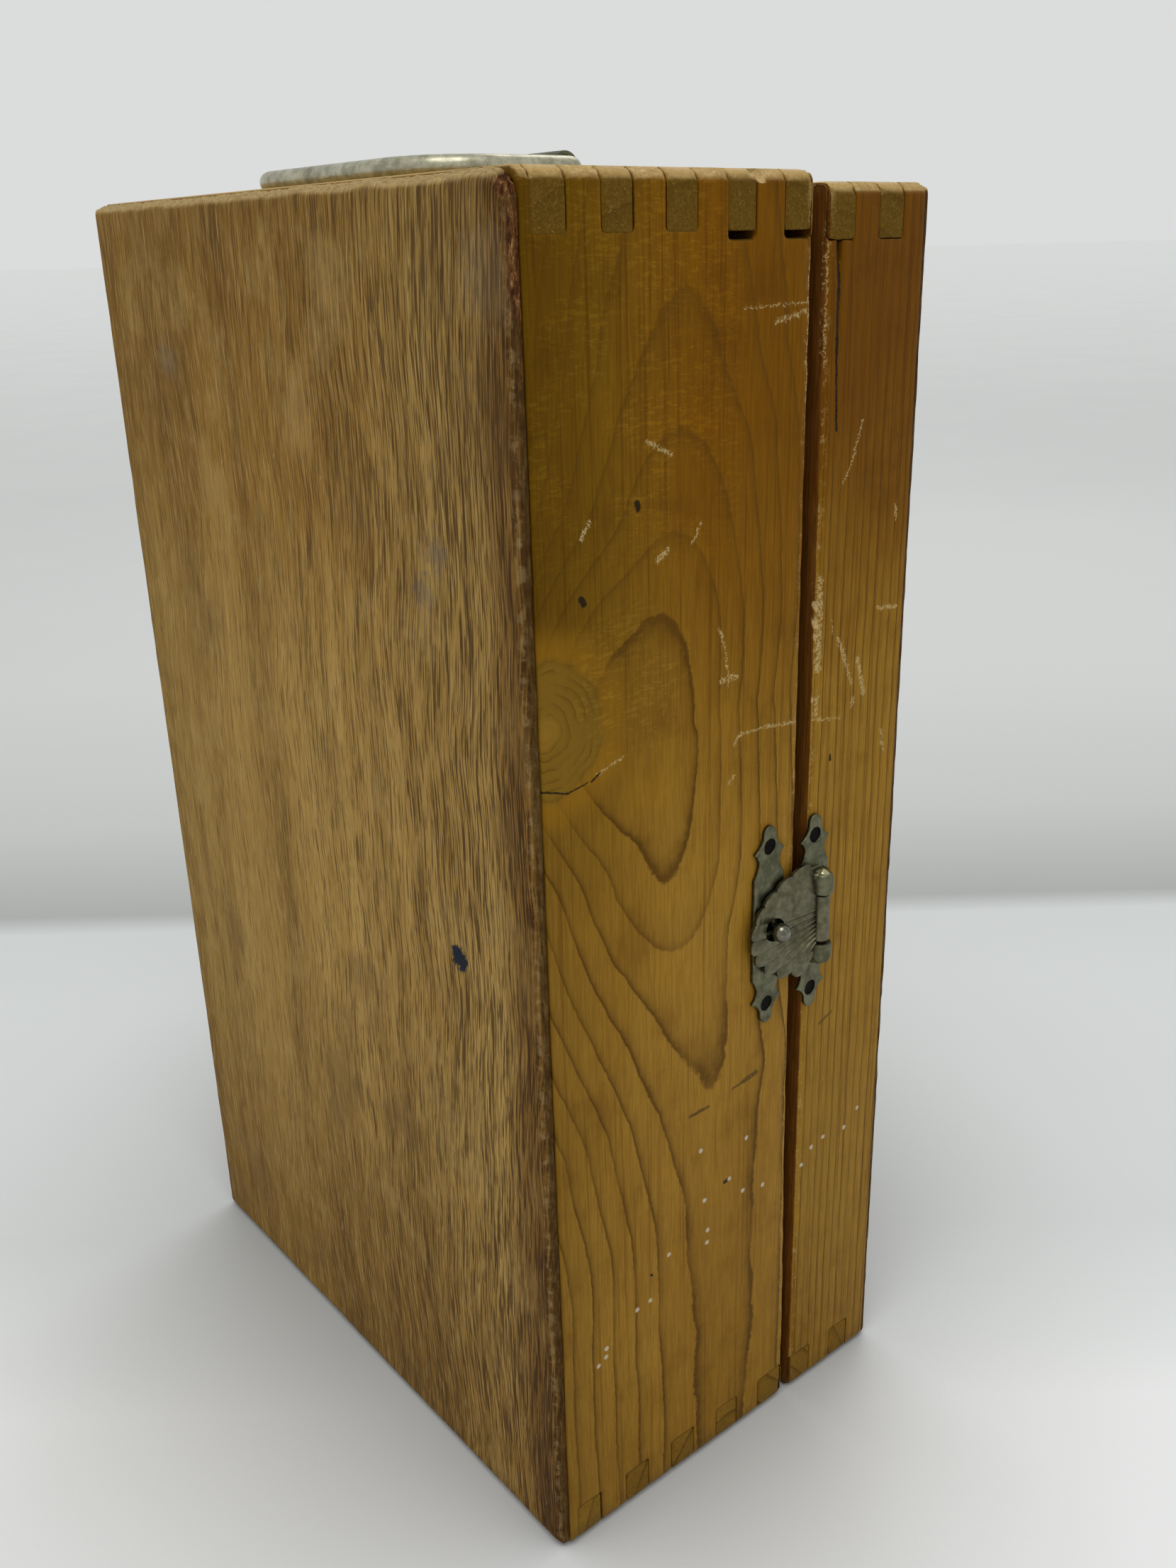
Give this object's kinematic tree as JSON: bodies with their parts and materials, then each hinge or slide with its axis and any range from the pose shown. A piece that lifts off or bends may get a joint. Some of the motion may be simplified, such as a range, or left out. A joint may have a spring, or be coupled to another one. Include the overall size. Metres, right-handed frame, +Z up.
{
  "type": "metronome in a carrying case",
  "caption": "Wind-up metronome with a swinging weighted rod, built into a finger-jointed wooden carrying case with a hinged lid, a shell clasp and a wire handle.",
  "frame": {"origin": "the middle of the closed case's underside, on the body's bottom board, where the case rests", "axes": "+Z up along the case's height, the lid faces -Y, the back panel faces +Y, the clasp is on -X and the lid hinges are on +X"},
  "size_m": [0.156, 0.092, 0.2571],
  "materials": {
    "plywood": "worn open-grained veneer",
    "varnished_pine": "old amber varnish",
    "bare_pine": "sawn",
    "stained_board": "dark stain, satin",
    "dull_nickel": "dull worn nickel plate",
    "steel": "plain steel",
    "brass": "lacquered brass",
    "enamel": "cream enamel"
  },
  "bodies": {
    "case": {"back_panel": "plywood", "body_bottom_board": "varnished_pine", "body_top_board": "varnished_pine", "body_clasp_side": "varnished_pine", "body_hinge_side": "varnished_pine", "catch_plate": "dull_nickel", "catch_stud": "dull_nickel", "catch_nails": "steel", "handle_saddle_left": "dull_nickel", "handle_saddle_right": "dull_nickel", "handle_saddle_screws": "dull_nickel", "hinge_body_leaf_lower": "dull_nickel", "hinge_body_leaf_upper": "dull_nickel", "hinge_body_screws": "dull_nickel", "hinge_pin_lower": "steel", "hinge_pin_upper": "steel", "movement_board": "stained_board", "board_batten_left": "bare_pine", "board_batten_right": "bare_pine", "board_screws": "steel", "tempo_scale": "enamel", "scale_pins": "brass", "movement_front_plate": "brass", "movement_back_plate": "brass", "plate_pillars": "brass", "movement_screws": "brass", "back_plate_screws": "steel", "mainspring": "steel", "clip_post": "brass"},
    "lid": {"lid_panel": "plywood", "lid_bottom_board": "varnished_pine", "lid_top_board": "varnished_pine", "lid_clasp_side": "varnished_pine", "lid_hinge_side": "varnished_pine", "hinge_lid_leaf_lower": "dull_nickel", "hinge_lid_leaf_upper": "dull_nickel", "hinge_lid_screws": "dull_nickel", "hasp_hinge_plate": "dull_nickel", "hasp_pin": "steel", "hasp_plate_nails": "steel"},
    "hasp": {"hasp_leaf": "dull_nickel"},
    "handle": {"handle_bail": "dull_nickel"},
    "winding": {"winding_arbor": "steel", "ratchet_wheel": "steel", "winding_key": "brass"},
    "great": {"great_wheel": "brass", "click_screw": "steel", "click_spring": "steel"},
    "click": {"click": "steel"},
    "second": {"second_arbor": "steel", "second_wheel": "brass"},
    "escape": {"escape_arbor": "steel", "escape_wheel": "brass"},
    "pendulum": {"pendulum_arbor": "steel", "pendulum_rod": "steel", "pendulum_bob": "brass", "pallet_anchor": "steel"},
    "weight": {"sliding_weight": "brass", "weight_spring": "steel"},
    "rod_clip": {"rod_clip": "brass"}
  },
  "joints": [
    {"name": "lid_hinge", "type": "hinge", "parent": "case", "child": "lid", "pos_m": [0.075, -0.0172, 0.125], "axis": [0, 0, 1], "range_deg": [0, 180]},
    {"name": "hasp_swing", "type": "hinge", "parent": "lid", "child": "hasp", "pos_m": [-0.0758, -0.0204, 0.119], "axis": [0, 0, 1], "range_deg": [0, 170]},
    {"name": "handle_swing", "type": "hinge", "parent": "case", "child": "handle", "pos_m": [0, 0, 0.2541], "axis": [1, 0, 0], "range_deg": [0, 180]},
    {"name": "pendulum_swing", "type": "hinge", "parent": "case", "child": "pendulum", "pos_m": [0, 0, 0.08], "axis": [0, 1, 0], "range_deg": [-20, 20]},
    {"name": "weight_slide", "type": "slide", "parent": "pendulum", "child": "weight", "axis": [0, 0, 1], "range_m": [-0.052, 0.05]},
    {"name": "winding_turn", "type": "hinge", "parent": "case", "child": "winding", "pos_m": [0.04, 0, 0.038], "axis": [0, 1, 0], "continuous": true},
    {"name": "great_wheel_turn", "type": "hinge", "parent": "case", "child": "great", "pos_m": [0.04, 0.02, 0.038], "axis": [0, 1, 0], "continuous": true},
    {"name": "second_wheel_turn", "type": "hinge", "parent": "case", "child": "second", "pos_m": [0.02299, 0.02, 0.05465], "axis": [0, 1, 0], "continuous": true},
    {"name": "escape_wheel_turn", "type": "hinge", "parent": "case", "child": "escape", "pos_m": [0, 0.02, 0.059], "axis": [0, 1, 0], "continuous": true},
    {"name": "click_lift", "type": "hinge", "parent": "great", "child": "click", "pos_m": [0.05143, 0.0188, 0.04693], "axis": [0, -1, 0], "range_deg": [0, 12], "stiffness_Nm_per_rad": 0.002, "springref_deg": -11.46},
    {"name": "rod_clip_turn", "type": "hinge", "parent": "case", "child": "rod_clip", "pos_m": [0.009, -0.003, 0.237], "axis": [0, -1, 0], "range_deg": [0, 33]}
  ],
  "couplings": [
    {"joint": "second_wheel_turn", "follows": "escape_wheel_turn", "ratio": -0.125},
    {"joint": "great_wheel_turn", "follows": "escape_wheel_turn", "ratio": 0.020833},
    {"joint": "winding_turn", "follows": "escape_wheel_turn", "ratio": 0.020833}
  ]
}
